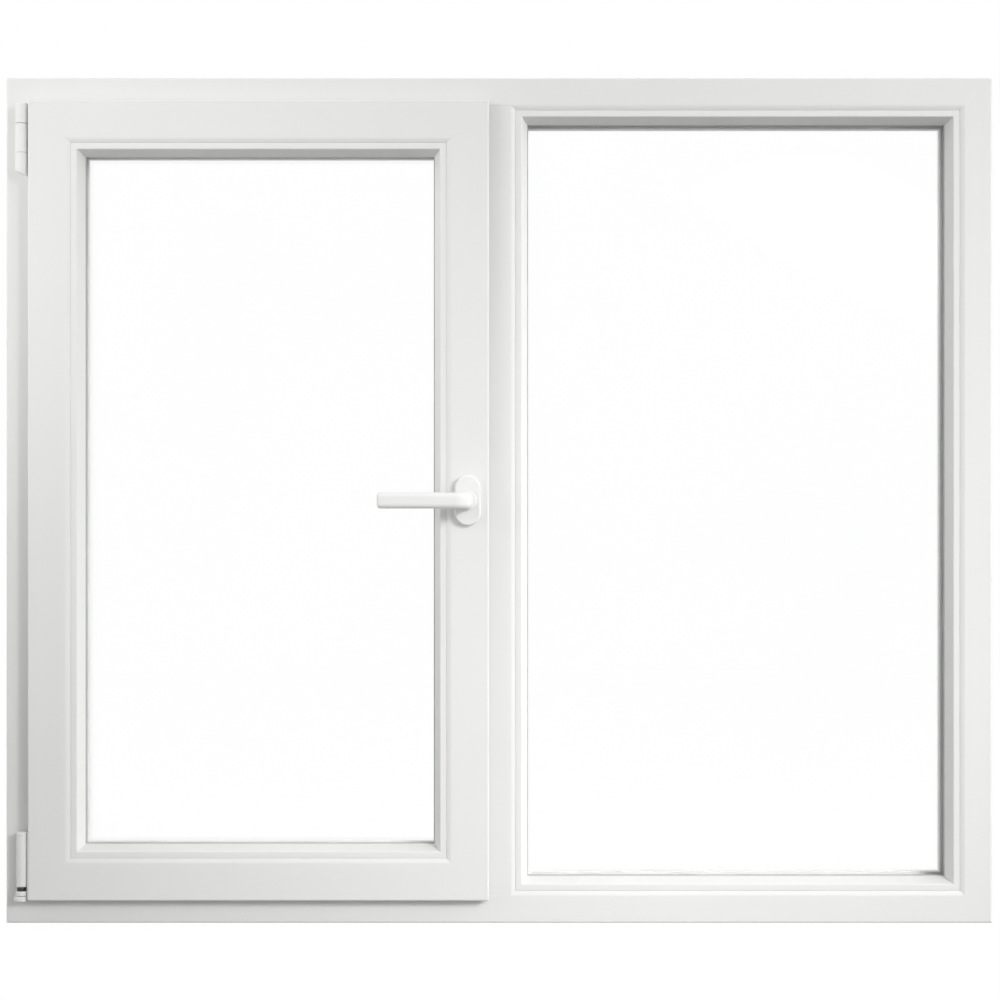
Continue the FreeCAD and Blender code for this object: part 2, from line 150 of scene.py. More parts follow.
path = sky.new("ShaderNodeLightPath").outputs
seen = sky_math("MAXIMUM", path["Is Camera Ray"], path["Is Glossy Ray"])
seen = sky_math("MAXIMUM", seen, path["Is Transmission Ray"])
first_hit = sky_math("LESS_THAN", path["Diffuse Depth"], 0.5)
seen = sky_math("MULTIPLY", seen, first_hit)

studio_light = sky.new("ShaderNodeBackground")
studio_light.inputs["Color"].default_value = SKY_TINT
sky_links.new(level, studio_light.inputs["Strength"])
plain_white = sky.new("ShaderNodeBackground")
plain_white.inputs["Color"].default_value = (1, 1, 1, 1)
sky_mix = sky.new("ShaderNodeMixShader")
sky_links.new(seen, sky_mix.inputs[0])
sky_links.new(studio_light.outputs[0], sky_mix.inputs[1])
sky_links.new(plain_white.outputs[0], sky_mix.inputs[2])
sky_links.new(sky_mix.outputs[0], sky.new("ShaderNodeOutputWorld").inputs["Surface"])
print("sky is %.2f ahead, %.2f to the sides" % (SKY_LEVEL - SKY_RISE.y, SKY_LEVEL + SKY_SIDES))

# %% Lamps
LAMPS = {
    "key_lamp": {"place": Vector((4.0, -4.4, 2.7)), "aim": Vector((0.55, 0, 0.27)),
                 "size": 1.6, "spread": 33, "power": 8.4},
    "low_lamp": {"place": Vector((0.75, -2.0, 1.0)), "aim": Vector((0.0, 0, 0.0)),
                 "size": 0.9, "spread": 44, "power": 0.7},
    "left_lamp": {"place": Vector((-1.9, -1.8, 1.35)), "aim": Vector((-0.62, 0, 1.05)),
                  "size": 0.9, "spread": 38, "power": 1.15}}

for name, lamp in LAMPS.items():
    lamp_data = bpy.data.lights.new(name, "AREA")
    lamp_data.shape = "DISK"
    lamp_data.size = lamp["size"]
    lamp_data.spread = math.radians(lamp["spread"])
    lamp_data.energy = lamp["power"]
    lamp_object = bpy.data.objects.new(name, lamp_data)
    lamp_object.location = lamp["place"]
    lamp_object.rotation_euler = (lamp["aim"] - lamp["place"]).to_track_quat("-Z", "Y").to_euler()
    lamp_object.visible_camera = False
    lamp_object.visible_glossy = name == "key_lamp"
    bpy.context.scene.collection.objects.link(lamp_object)
    print(name, "stands %.1f m from its aim" % (lamp["aim"] - lamp["place"]).length)

# %% [markdown]
# ## The floor
# The window stands on a pale floor that melts into the white surround. The camera, and reflections, see
# mostly plain white with a share of real shading mixed in, so that the shadow at the foot of the frame
# stays. Light that bounces off the floor comes from a grey surface instead, because the photo has
# little light from below.

# %% Floor
FLOOR_HALF = 4.0
FLOOR_SEGMENTS = 4
FLOOR_GREY = (0.33, 0.33, 0.326, 1)
FLOOR_WHITE_SHARE = 0.90
FLOOR_GLOW = 1.08

floor_material = bpy.data.materials.new("pale_floor")
floor_material.use_nodes = True
floor_nodes = floor_material.node_tree.nodes
floor_links = floor_material.node_tree.links
floor_nodes.clear()
floor_path = floor_nodes.new("ShaderNodeLightPath").outputs
floor_seen = floor_nodes.new("ShaderNodeMath")
floor_seen.operation = "MAXIMUM"
floor_links.new(floor_path["Is Camera Ray"], floor_seen.inputs[0])
floor_links.new(floor_path["Is Glossy Ray"], floor_seen.inputs[1])
floor_through = floor_nodes.new("ShaderNodeMath")
floor_through.operation = "MAXIMUM"
floor_links.new(floor_seen.outputs[0], floor_through.inputs[0])
floor_links.new(floor_path["Is Transmission Ray"], floor_through.inputs[1])
floor_share = floor_nodes.new("ShaderNodeMath")
floor_share.operation = "MULTIPLY"
floor_share.inputs[1].default_value = FLOOR_WHITE_SHARE
floor_links.new(floor_through.outputs[0], floor_share.inputs[0])
floor_paint = floor_nodes.new("ShaderNodeBsdfDiffuse")
floor_paint.inputs["Color"].default_value = FLOOR_GREY
floor_glow = floor_nodes.new("ShaderNodeEmission")
floor_glow.inputs["Strength"].default_value = FLOOR_GLOW
floor_mix = floor_nodes.new("ShaderNodeMixShader")
floor_links.new(floor_share.outputs[0], floor_mix.inputs[0])
floor_links.new(floor_paint.outputs[0], floor_mix.inputs[1])
floor_links.new(floor_glow.outputs[0], floor_mix.inputs[2])
floor_links.new(floor_mix.outputs[0], floor_nodes.new("ShaderNodeOutputMaterial").inputs["Surface"])

floor_shape = bmesh.new()
bmesh.ops.create_grid(floor_shape, x_segments=FLOOR_SEGMENTS, y_segments=FLOOR_SEGMENTS, size=FLOOR_HALF)
floor_mesh = bpy.data.meshes.new("floor")
floor_shape.to_mesh(floor_mesh)
floor_shape.free()
floor_mesh.materials.append(floor_material)
floor = bpy.data.objects.new("floor", floor_mesh)
bpy.context.scene.collection.objects.link(floor)
floor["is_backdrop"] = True
print("floor of", 2 * FLOOR_HALF, "m")

# %% [markdown]
# ## Shared effects
# Two effects come back in most of the finishes: fine grain, which breaks up gloss and tone, and drawing
# lines, which a die or a rolling mill leaves along a bar. Each is a node group with named sockets,
# built once and placed in every material that needs it with its own sizes. A group puts out only
# values, and the shader stays in the material.

# %% Node groups


def new_group(name, inputs, outputs):
    """An empty shader node group with float sockets, and its two ends."""
    group = bpy.data.node_groups.new(name, "ShaderNodeTree")
    group.interface.new_socket("Vector", in_out="INPUT", socket_type="NodeSocketVector")
    for socket, value in inputs.items():
        made = group.interface.new_socket(socket, in_out="INPUT", socket_type="NodeSocketFloat")
        made.default_value = value
    for socket in outputs:
        group.interface.new_socket(socket, in_out="OUTPUT", socket_type="NodeSocketFloat")
    return group, group.nodes.new("NodeGroupInput"), group.nodes.new("NodeGroupOutput")


def group_math(group, operation, first, second):
    node = group.nodes.new("ShaderNodeMath")
    node.operation = operation
    for socket, value in zip(node.inputs, (first, second)):
        if isinstance(value, (int, float)):
            socket.default_value = value
        else:
            group.links.new(value, socket)
    return node.outputs[0]


def group_noise(group, vector, scale, detail):
    node = group.nodes.new("ShaderNodeTexNoise")
    node.inputs["Detail"].default_value = detail
    group.links.new(vector, node.inputs["Vector"])
    group.links.new(scale, node.inputs["Scale"])
    return node.outputs["Fac"]


GRAIN_DETAIL = 3.0
CLOUD_DETAIL = 2.0
grain, grain_in, grain_out = new_group(
    "fine grain", {"Grain Scale": 900.0, "Cloud Scale": 6.0}, ("Grain", "Cloud"))
for output, detail in (("Grain", GRAIN_DETAIL), ("Cloud", CLOUD_DETAIL)):
    pattern = group_noise(grain, grain_in.outputs["Vector"], grain_in.outputs[output + " Scale"], detail)
    grain.links.new(pattern, grain_out.inputs[output])

LINE_STRETCH = 0.02
lines, lines_in, lines_out = new_group(
    "drawing lines", {"Line Scale": 500.0, "Along X": 1.0, "Along Z": 0.0}, ("Lines",))
split = lines.nodes.new("ShaderNodeSeparateXYZ")
lines.links.new(lines_in.outputs["Vector"], split.inputs[0])
joined = lines.nodes.new("ShaderNodeCombineXYZ")
for axis, switch in (("X", "Along X"), ("Z", "Along Z")):
    squeeze = group_math(lines, "MULTIPLY", lines_in.outputs[switch], 1 - LINE_STRETCH)
    squeeze = group_math(lines, "SUBTRACT", 1.0, squeeze)
    lines.links.new(group_math(lines, "MULTIPLY", split.outputs[axis], squeeze), joined.inputs[axis])
lines.links.new(split.outputs["Y"], joined.inputs["Y"])
lines.links.new(group_noise(lines, joined.outputs[0], lines_in.outputs["Line Scale"], CLOUD_DETAIL),
                lines_out.inputs["Lines"])
print("groups:", grain.name, "and", lines.name)

# %% [markdown]
# ## Finishes
# Every finish is one Principled shader. Its colour drifts a little between two close tones, its
# roughness follows the grain or the lines, and a Bump node gives them their relief. Only the glass has
# no relief. Image textures could do the same, but nodes that read Object coordinates have no seams and
# stay at their true scale on every piece.

# %% Material maker


def blend_tones(tree, factor, low, high):
    """A colour between two tones, by a mask."""
    mix = tree.nodes.new("ShaderNodeMix")
    mix.data_type = "RGBA"
    mix.inputs["A"].default_value = (*low, 1)
    mix.inputs["B"].default_value = (*high, 1)
    tree.links.new(factor, mix.inputs["Factor"])
    return mix.outputs["Result"]


def spread(tree, mask, low, high):
    """A mask from 0 to 1 drawn out between two values."""
    node = tree.nodes.new("ShaderNodeMapRange")
    node.inputs["To Min"].default_value = low
    node.inputs["To Max"].default_value = high
    tree.links.new(mask, node.inputs["Value"])
    return node.outputs["Result"]


def finish(name, tones, roughness, grain_scale, relief, cloud_scale=6.0, line_axis=None, line_scale=500.0,
           **sockets):
    """A procedural finish: two tones, a range of roughness, and the depth of its relief in metres."""
    material = bpy.data.materials.new(name)
    material.use_nodes = True
    tree = material.node_tree
    shader = tree.nodes["Principled BSDF"]
    place = tree.nodes.new("ShaderNodeTexCoord").outputs["Object"]
    fine = tree.nodes.new("ShaderNodeGroup")
    fine.node_tree = grain
    fine.inputs["Grain Scale"].default_value = grain_scale
    fine.inputs["Cloud Scale"].default_value = cloud_scale
    tree.links.new(place, fine.inputs["Vector"])
    height = fine.outputs["Grain"]
    if line_axis:
        drawn = tree.nodes.new("ShaderNodeGroup")
        drawn.node_tree = lines
        drawn.inputs["Line Scale"].default_value = line_scale
        drawn.inputs["Along X"].default_value = 1.0 if line_axis == "X" else 0.0
        drawn.inputs["Along Z"].default_value = 1.0 if line_axis == "Z" else 0.0
        tree.links.new(place, drawn.inputs["Vector"])
        height = drawn.outputs["Lines"]
    tree.links.new(blend_tones(tree, fine.outputs["Cloud"], *tones), shader.inputs["Base Color"])
    tree.links.new(spread(tree, height, *roughness), shader.inputs["Roughness"])
    if relief > 0:
        bump = tree.nodes.new("ShaderNodeBump")
        bump.inputs["Distance"].default_value = relief
        bump.inputs["Strength"].default_value = 1.0
        tree.links.new(height, bump.inputs["Height"])
        tree.links.new(bump.outputs["Normal"], shader.inputs["Normal"])
    for socket, value in sockets.items():
        shader.inputs[socket.replace("_", " ")].default_value = value
    return material


print("finishes are made of", grain.name, "and", lines.name)

# %% [markdown]
# ### White plastic
# The profiles are extruded, so their satin skin carries faint lines along the bar. A bar lies along X
# or stands along Z, and the lines have to follow it, so there are two finishes of the same white. The
# beads are a separate extrusion with a slightly higher gloss. One finish that turns with each piece
# would save the second, but every piece keeps the window's own origin and axes.

# %% White plastic
WHITE_TONES = ((0.800, 0.800, 0.790), (0.825, 0.825, 0.816))
BEAD_TONES = ((0.805, 0.805, 0.797), (0.830, 0.830, 0.822))
COVER_TONES = ((0.80, 0.80, 0.785), (0.825, 0.825, 0.81))
DRAIN_TONES = ((0.78, 0.78, 0.77), (0.81, 0.81, 0.80))

profile_white = {
    axis: finish("profile_white_" + axis.lower(), WHITE_TONES, (0.42, 0.54), 1400.0, 0.000004,
                 line_axis=axis, line_scale=420.0, IOR=1.48)
    for axis in ("X", "Z")}
bead_white = {
    axis: finish("bead_white_" + axis.lower(), BEAD_TONES, (0.38, 0.50), 1400.0, 0.000004,
                 line_axis=axis, line_scale=420.0, IOR=1.48)
    for axis in ("X", "Z")}
cover_white = finish("cover_white", COVER_TONES, (0.34, 0.48), 1500.0, 0.00001, cloud_scale=30.0, IOR=1.47)
drain_white = finish("drain_white", DRAIN_TONES, (0.42, 0.55), 1800.0, 0.00002, cloud_scale=25.0, IOR=1.47)
print("white plastic:", len(profile_white) + len(bead_white) + 2, "finishes")

# %% [markdown]
# ### Coat, rubber, metal and glass
# The handle is cast metal under a powder coat, whose skin has a soft orange peel. The seals are matt
# rubber. The outer gasket is a lighter grey than the room gasket: painted light that lifts the band seen
# in shade behind the glass. The hinge bush is near-black steel as painted shade for its gap. The hardware
# is plated steel with rolling lines, and the bar between the panes is dull drawn aluminium. The glass is
# almost without colour, with the faintest haze to break up its gloss.

# %% Coat, rubber, metal and glass
COAT_TONES = ((0.815, 0.815, 0.80), (0.835, 0.835, 0.822))
GASKET_TONES = ((0.45, 0.45, 0.445), (0.50, 0.50, 0.494))
# The outer gasket's lighter tones are painted light: they lift the shaded band seen through the glass.
OUTER_LIFTED_TONES = ((0.68, 0.68, 0.673), (0.73, 0.73, 0.723))
SEAL_TONES = ((0.26, 0.26, 0.255), (0.31, 0.31, 0.303))
PLATED_TONES = ((0.50, 0.50, 0.49), (0.60, 0.60, 0.585))
HINGE_TONES = ((0.46, 0.46, 0.45), (0.55, 0.55, 0.54))
# Near-black tones for the hinge bush: painted shade that darkens the gap between swivel and cover.
BUSH_SHADE_TONES = ((0.07, 0.07, 0.068), (0.10, 0.10, 0.097))
SPACER_TONES = ((0.56, 0.56, 0.555), (0.64, 0.64, 0.635))
GLASS_TONES = ((0.990, 0.995, 0.992), (0.996, 0.999, 0.997))

handle_coat = finish("handle_coat", COAT_TONES, (0.26, 0.36), 700.0, 0.000025,
                     cloud_scale=40.0, IOR=1.5, Coat_Weight=0.25, Coat_Roughness=0.2)
gasket_rubber = finish("gasket_rubber", GASKET_TONES, (0.62, 0.82), 2600.0, 0.00003,
                       cloud_scale=60.0, IOR=1.5)
# Same rubber as the room gasket, but lighter, as painted light for its shaded place behind the glass.
outer_rubber_painted_light = finish("outer_rubber_painted_light", OUTER_LIFTED_TONES, (0.62, 0.82), 2600.0, 0.00003,
                      cloud_scale=60.0, IOR=1.5)
seal_rubber = finish("seal_rubber", SEAL_TONES, (0.66, 0.86), 2600.0, 0.00003,
                     cloud_scale=60.0, IOR=1.5)
plated_steel = {
    axis: finish("plated_steel_" + axis.lower(), PLATED_TONES, (0.24, 0.46), 900.0, 0.00001,
                 cloud_scale=90.0, line_axis=axis, line_scale=1500.0, Metallic=1.0)
    for axis in ("X", "Z")}
hinge_steel = finish("hinge_steel", HINGE_TONES, (0.28, 0.48), 1600.0, 0.00001,
                     cloud_scale=140.0, Metallic=1.0)
# Near-black steel for the hinge bush, as painted shade for its gap.
painted_shade_steel = finish("painted_shade_steel", BUSH_SHADE_TONES, (0.35, 0.50), 1600.0, 0.00001,
                    cloud_scale=140.0, Metallic=1.0)
spacer_metal = finish("spacer_metal", SPACER_TONES, (0.40, 0.58), 1300.0, 0.00001,
                      cloud_scale=80.0, Metallic=1.0)
clear_glass = finish("clear_glass", GLASS_TONES, (0.0, 0.012), 40.0, 0.0,
                     cloud_scale=3.0, IOR=1.5, Transmission_Weight=1.0)
print("handle, rubber, metal and glass are ready")

# %% [markdown]
# ## From a shape to a piece
# Each new shape is a bmesh. One helper closes it, turns its faces outwards, shades it and ties it to
# its body. A Weighted Normal modifier keeps the large flats flat beside the small rounded edges.
# Sorting the points, edges and faces along a slanted line gives the same mesh on every run.

# %% Piece maker
MERGE_DISTANCE = 0.000002
SMOOTH_ANGLE = math.radians(32)
SORT_ALONG = Vector((1.0, 2.71, 7.39))


def make_piece(shape, name, body, slot, material, *stands_for):
    """Makes the shape an object that rides on a body and stands for measured nodes."""
    bmesh.ops.remove_doubles(shape, verts=shape.verts, dist=MERGE_DISTANCE)
    bmesh.ops.recalc_face_normals(shape, faces=shape.faces)
    shape.verts.sort(key=lambda vert: vert.co.dot(SORT_ALONG))
    shape.edges.sort(key=lambda edge: (edge.verts[0].co + edge.verts[1].co).dot(SORT_ALONG))
    shape.faces.sort(key=lambda face: face.calc_center_median().dot(SORT_ALONG))
    mesh = bpy.data.meshes.new(name)
    shape.to_mesh(mesh)
    shape.free()
    mesh.shade_smooth()
    mesh.set_sharp_from_angle(angle=SMOOTH_ANGLE)
    mesh.materials.append(material)
    piece = bpy.data.objects.new(name, mesh)
    bpy.context.scene.collection.objects.link(piece)
    weighted = piece.modifiers.new("flat faces stay flat", "WEIGHTED_NORMAL")
    weighted.keep_sharp = True
    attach(piece, body)
    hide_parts(*stands_for)
    return piece


def round_corners(shape, verts, reach, steps):
    bmesh.ops.bevel(shape, geom=verts, offset=reach, offset_type="OFFSET", segments=steps, profile=0.5,
                    affect="VERTICES", material=-1)


def round_edges(shape, edges, reach, steps, clamp=True):
    bmesh.ops.bevel(shape, geom=edges, offset=reach, offset_type="OFFSET", segments=steps, profile=0.5,
                    affect="EDGES", material=-1, clamp_overlap=clamp)


print("pieces merge points closer than", MERGE_DISTANCE, "m")

# %% [markdown]
# ## Profiles
# A profile bar is a section drawn out along a line and cut at 45 degrees at both ends. Drawing the
# section as a few corner points, rounding each corner, extruding it and shearing its two ends gives a
# clean bar with no cutting. The ends get a small bevel, and two such bevels side by side make the fine
# groove that a cleaned weld leaves.

# %% Bars
ROUND_STEPS = 5
WELD_GROOVE = 0.00015


def section(corners):
    """A face on X = 0 through (across, depth, reach) corners, each rounded over its reach."""
    shape = bmesh.new()
    verts = [shape.verts.new((0, depth, across)) for across, depth, _ in corners]
    shape.faces.new(verts)
    for reach in sorted({corner[2] for corner in corners if corner[2] > 0}):
        chosen = [vert for vert, corner in zip(verts, corners) if corner[2] == reach]
        round_corners(shape, chosen, reach, ROUND_STEPS)
    return shape


def draw_out(shape, length):
    """Extrudes the only face of a shape along X, and gives the verts of both ends."""
    first = list(shape.verts)
    grown = bmesh.ops.extrude_face_region(shape, geom=list(shape.faces))
    last = [item for item in grown["geom"] if isinstance(item, bmesh.types.BMVert)]
    bmesh.ops.translate(shape, verts=last, vec=(length, 0, 0))
    return first, last


def mitred_bar(corners, length):
    shape = section(corners)
    first, last = draw_out(shape, length)
    shear = Matrix.Identity(4)
    shear[0][2] = 1
    bmesh.ops.transform(shape, matrix=shear, verts=first)
    shear[0][2] = -1
    bmesh.ops.transform(shape, matrix=shear, verts=last)
    ends = set(first), set(last)
    rims = [edge for edge in shape.edges if any(set(edge.verts) <= end for end in ends)]
    round_edges(shape, rims, WELD_GROOVE, 1)
    return shape


def mitred_loop(corners, y, low, high):
    """Four mitred bars round the rectangle from low to high, by side."""
    width = high.x - low.x
    height = high.z - low.z
    places = {"sill": (width, 0, low.x, low.z), "right": (height, -90, high.x, low.z),
              "head": (width, 180, high.x, high.z), "left": (height, 90, low.x, high.z)}
    bars = {}
    for side, (length, turn, x, z) in places.items():
        bar = mitred_bar(corners, length)
        move = Matrix.Translation((x, y, z)) @ Matrix.Rotation(math.radians(turn), 4, "Y")
        bmesh.ops.transform(bar, matrix=move, verts=bar.verts)
        bars[side] = bar
    return bars


def along(side):
    return "X" if side in ("sill", "head") else "Z"


print("weld grooves are", 2000 * WELD_GROOVE, "mm wide")

# %% [markdown]
# ### Outer frame
# The frame is an L section: a broad face to the room, and a lip behind it that the glass or the closed
# sash comes against. All its sizes follow from the measured sill and from the pieces that seat in it.
# One section swept round the window could make all four bars at once, but then the corners would have
# no welds.

# %% Outer frame
EDGE_ROUND = 0.0025
JOINT_ROUND = 0.001
INNER_ROUND = 0.001
SLOPE_REACH = 0.002

sill_low, sill_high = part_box("frame_sill")
head_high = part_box("frame_head")[1]
frame_depth = sill_high.y - room_y
frame_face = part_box("fixed_bead_sill")[0].z
lip_top = sill_high.z
lip_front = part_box("fixed_gasket_outer")[1].y - room_y
slope_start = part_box("mullion")[0].z
slope_width = frame_face - slope_start
slope_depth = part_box("fixed_bead_sill")[0].y - room_y
frame_corners = [
    (0, 0, EDGE_ROUND), (0, frame_depth, EDGE_ROUND), (lip_top, frame_depth, EDGE_ROUND),
    (lip_top, lip_front, INNER_ROUND), (frame_face, lip_front, 0), (frame_face, slope_depth, JOINT_ROUND),
    (slope_start, 0, SLOPE_REACH)]
frame_names = {"sill": "frame_sill", "right": "frame_fixed_jamb", "head": "frame_head",
               "left": "frame_hinge_jamb"}
frame_top = Vector((sill_high.x, 0, head_high.z))
for side, bar in mitred_loop(frame_corners, room_y, sill_low, frame_top).items():
    make_piece(bar, frame_names[side] + "_profile", "frame", "upvc_frame", profile_white[along(side)],
               frame_names[side])
print("frame face %.0f mm, lip %.0f mm" % (1000 * frame_face, 1000 * (lip_top - frame_face)))

# %% [markdown]
# ### Mullion
# The mullion is a T section between sill and head, with a lip to each side. Its ends are milled to pass
# over the frame's lips. A boolean could cut them, but it is cleaner to draw the bar out to its full
# length and then set each end point back by what is milled away at its depth.

# %% Mullion
mullion_low, mullion_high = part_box("mullion")
stem_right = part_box("fixed_bead_left")[0].x
stem_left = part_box("strikers")[1].x
mullion_section = [
    (-stem_right, lip_front, 0), (-mullion_high.x, lip_front, INNER_ROUND),
    (-mullion_high.x, frame_depth, EDGE_ROUND), (-mullion_low.x, frame_depth, EDGE_ROUND),
    (-mullion_low.x, lip_front, INNER_ROUND), (-stem_left, lip_front, 0),
    (-stem_left, slope_depth, JOINT_ROUND), (-stem_left - slope_width, 0, SLOPE_REACH),
    (-stem_right + slope_width, 0, SLOPE_REACH), (-stem_right, slope_depth, JOINT_ROUND)]
bar = section(mullion_section)
first_end, last_end = draw_out(bar, mullion_high.z - mullion_low.z)


def milled(depth):
    """How far the mullion's end stands back, at a depth behind its face."""
    if depth > lip_front - JOINT_ROUND:
        return lip_top - slope_start
    return slope_width * min(depth / slope_depth, 1)


for end, inwards in ((first_end, 1), (last_end, -1)):
    for vert in end:
        bmesh.ops.translate(bar, verts=[vert], vec=(inwards * milled(vert.co.y), 0, 0))
move = Matrix.Translation((0, room_y, mullion_low.z)) @ Matrix.Rotation(math.radians(-90), 4, "Y")
bmesh.ops.transform(bar, matrix=move, verts=bar.verts)
make_piece(bar, "mullion_profile", "frame", "upvc_frame", profile_white["Z"], "mullion")
print("mullion stem %.0f mm wide" % (1000 * (stem_right - stem_left)))

# %% [markdown]
# ### Sash
# The sash is a Z section: its flange laps over the frame's face from the room, its lip holds the glass
# from outside, and a groove round its edge takes the hardware. It is the same loop of bars with other
# corners.

# %% Sash
GROOVE_WIDTH = 0.012
GROOVE_DEPTH = 0.009

sash_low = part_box("sash_bottom_rail")[0]
sash_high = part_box("sash_bottom_rail")[1]
sash_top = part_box("sash_top_rail")[1].z
sash_y = sash_low.y
sash_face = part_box("sash_bead_sill")[0].z - sash_low.z
sash_lip = sash_high.z - sash_low.z
sash_depth = sash_high.y - sash_y
sash_lip_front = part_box("sash_gasket_outer")[1].y - sash_y
flange_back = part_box("sash_seal")[0].y - sash_y
body_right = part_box("lock_rail")[0].x
flange_width = sash_high.x - body_right
rail_low, rail_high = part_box("stay_rail")
groove_middle = (rail_low.y + rail_high.y) / 2 - sash_y
groove_front = groove_middle - GROOVE_WIDTH / 2
groove_back = groove_middle + GROOVE_WIDTH / 2
groove_floor = flange_width + GROOVE_DEPTH
sash_corners = [
    (0, 0, EDGE_ROUND), (0, flange_back, INNER_ROUND), (flange_width, flange_back, 0),
    (flange_width, groove_front, 0), (groove_floor, groove_front, 0), (groove_floor, groove_back, 0),
    (flange_width, groove_back, 0), (flange_width, sash_depth, EDGE_ROUND),
    (sash_lip, sash_depth, EDGE_ROUND), (sash_lip, sash_lip_front, INNER_ROUND),
    (sash_face, sash_lip_front, 0),
    (sash_face, slope_depth, JOINT_ROUND), (sash_face - slope_width, 0, SLOPE_REACH)]
sash_names = {"sill": "sash_bottom_rail", "right": "sash_lock_stile", "head": "sash_top_rail",
              "left": "sash_hinge_stile"}
sash_corner = Vector((sash_high.x, 0, sash_top))
for side, bar in mitred_loop(sash_corners, sash_y, sash_low, sash_corner).items():
    make_piece(bar, sash_names[side] + "_profile", "sash", "upvc_sash", profile_white[along(side)],
               sash_names[side])
print("sash face %.0f mm, flange %.0f mm" % (1000 * sash_face, 1000 * flange_width))

# %% [markdown]
# ### Glazing beads
# A bead holds the glass from the room side. Seen from the front it is a narrow flat and a steep slope
# to the rubber, with a rounded edge between them. These slopes carry the photo's strongest tones, so
# their angle matters most. A box with one bevelled edge would be quicker, but it has no slope of its
# own.

# %% Glazing beads
BEAD_FLAT = 0.009
BEAD_FOOT = 0.0015
BEAD_REACH = 0.0014

for prefix, body in (("sash", "sash"), ("fixed", "frame")):
    bead_low, bead_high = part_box(prefix + "_bead_sill")
    bead_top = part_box(prefix + "_bead_head")[1].z
    bead_width = bead_high.z - bead_low.z
    bead_depth = bead_high.y - bead_low.y
    bead_corners = [
        (0, 0, JOINT_ROUND), (0, bead_depth, 0), (bead_width, bead_depth, 0),
        (bead_width, bead_depth - BEAD_FOOT, 0), (BEAD_FLAT, 0, BEAD_REACH)]
    corner = Vector((bead_high.x, 0, bead_top))
    for side, bar in mitred_loop(bead_corners, bead_low.y, bead_low, corner).items():
        node = "%s_bead_%s" % (prefix, side)
        make_piece(bar, node + "_profile", body, "upvc_bead", bead_white[along(side)], node)
    print(prefix, "beads %.1f mm wide" % (1000 * bead_width))

# %% [markdown]
# ## Glass
# Each opening has two panes. A pane is a thin slab with ground edges, so its box gets a fine bevel all
# round. A hair of air keeps it off the gaskets, because two faces in one place flicker. Panes throw no
# shadow here: in the studio clear glass takes hardly any light, and without it the white plastic behind
# stays clean.

# %% Panes
PANE_ARRIS = 0.0006
PANE_STEPS = 2
PANE_AIR = Vector((0, 0.0001, 0))


def slab(low, high):
    """A box between two corners."""
    shape = bmesh.new()
    bmesh.ops.create_cube(shape, size=1)
    size = high - low
    move = Matrix.Translation((low + high) / 2) @ Matrix.Diagonal((*size, 1))
    bmesh.ops.transform(shape, matrix=move, verts=shape.verts)
    return shape


for prefix, body in (("sash", "sash"), ("fixed", "frame")):
    for place in ("room", "outer"):
        node = "%s_pane_%s" % (prefix, place)
        pane_low, pane_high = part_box(node)
        pane = slab(pane_low + PANE_AIR, pane_high - PANE_AIR)
        round_edges(pane, list(pane.edges), PANE_ARRIS, PANE_STEPS)
        pane_piece = make_piece(pane, node + "_glass", body, "clear_glass", clear_glass, node)
        pane_piece.visible_shadow = False
print("4 panes")

# %% [markdown]
# ## Handle
# The handle is an oval rose, a round collar, and a lever that bends out of the collar and points to the
# hinges. The rose is a rectangle with its corners rounded until its ends are half circles. The lever
# starts as one rounded face at its tip: extruding draws the grip, a spin of 90 degrees makes the bend,
# and one more extrusion the neck. The two faces that this leaves inside the lever are deleted.

# %% Handle rose
ROSE_EDGE = 0.0032
ROSE_END_STEPS = 16
ROSE_EDGE_STEPS = 6

rose_low, rose_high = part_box("handle_rose")
rose_width = rose_high.x - rose_low.x
shape = bmesh.new()
rose_corners = [shape.verts.new((x, rose_high.y, z)) for x, z in (
    (rose_low.x, rose_low.z), (rose_high.x, rose_low.z),
    (rose_high.x, rose_high.z), (rose_low.x, rose_high.z))]
shape.faces.new(rose_corners)
round_corners(shape, rose_corners, rose_width / 2, ROSE_END_STEPS)
bmesh.ops.remove_doubles(shape, verts=shape.verts, dist=MERGE_DISTANCE)
back_verts = set(shape.verts)
grown = bmesh.ops.extrude_face_region(shape, geom=list(shape.faces))
front_verts = [item for item in grown["geom"] if isinstance(item, bmesh.types.BMVert)]
bmesh.ops.translate(shape, verts=front_verts, vec=(0, rose_low.y - rose_high.y, 0))
front_rim = [edge for edge in shape.edges if not back_verts & set(edge.verts)]
round_edges(shape, front_rim, ROSE_EDGE, ROSE_EDGE_STEPS)
make_piece(shape, "handle_rose_oval", "sash", "handle_coat", handle_coat, "handle_rose")
print("rose %.0f by %.0f mm" % (1000 * rose_width, 1000 * (rose_high.z - rose_low.z)))

# %% Handle lever
LEVER_ROUND = 0.0069
LEVER_DEPTH = 0.014
LEVER_BEND = 0.016
LEVER_STEPS = 8
BEND_STEPS = 14
TIP_ROUND = 0.0046

lever_low, lever_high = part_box("handle_lever")
handle_joint = next(joint for joint in frame["joints"] if joint["name"] == "handle_turn")
handle_x, _, handle_z = handle_joint["pos_m"]
collar_radius = lever_high.x - handle_x
GRIP_HALF = 0.01125
bend_x = handle_x - LEVER_BEND
grip_back = lever_low.y + LEVER_DEPTH
shape = bmesh.new()
tip_corners = [shape.verts.new((lever_low.x, y, handle_z + rise)) for y, rise in (
    (lever_low.y, -GRIP_HALF), (lever_low.y, GRIP_HALF), (grip_back, GRIP_HALF), (grip_back, -GRIP_HALF))]
shape.faces.new(tip_corners)
round_corners(shape, tip_corners, LEVER_ROUND, LEVER_STEPS)
tip_verts = set(shape.verts)
grown = bmesh.ops.extrude_face_region(shape, geom=list(shape.faces))
grip_end = [item for item in grown["geom"] if isinstance(item, bmesh.types.BMFace)]
end_verts = list({vert for face in grip_end for vert in face.verts})
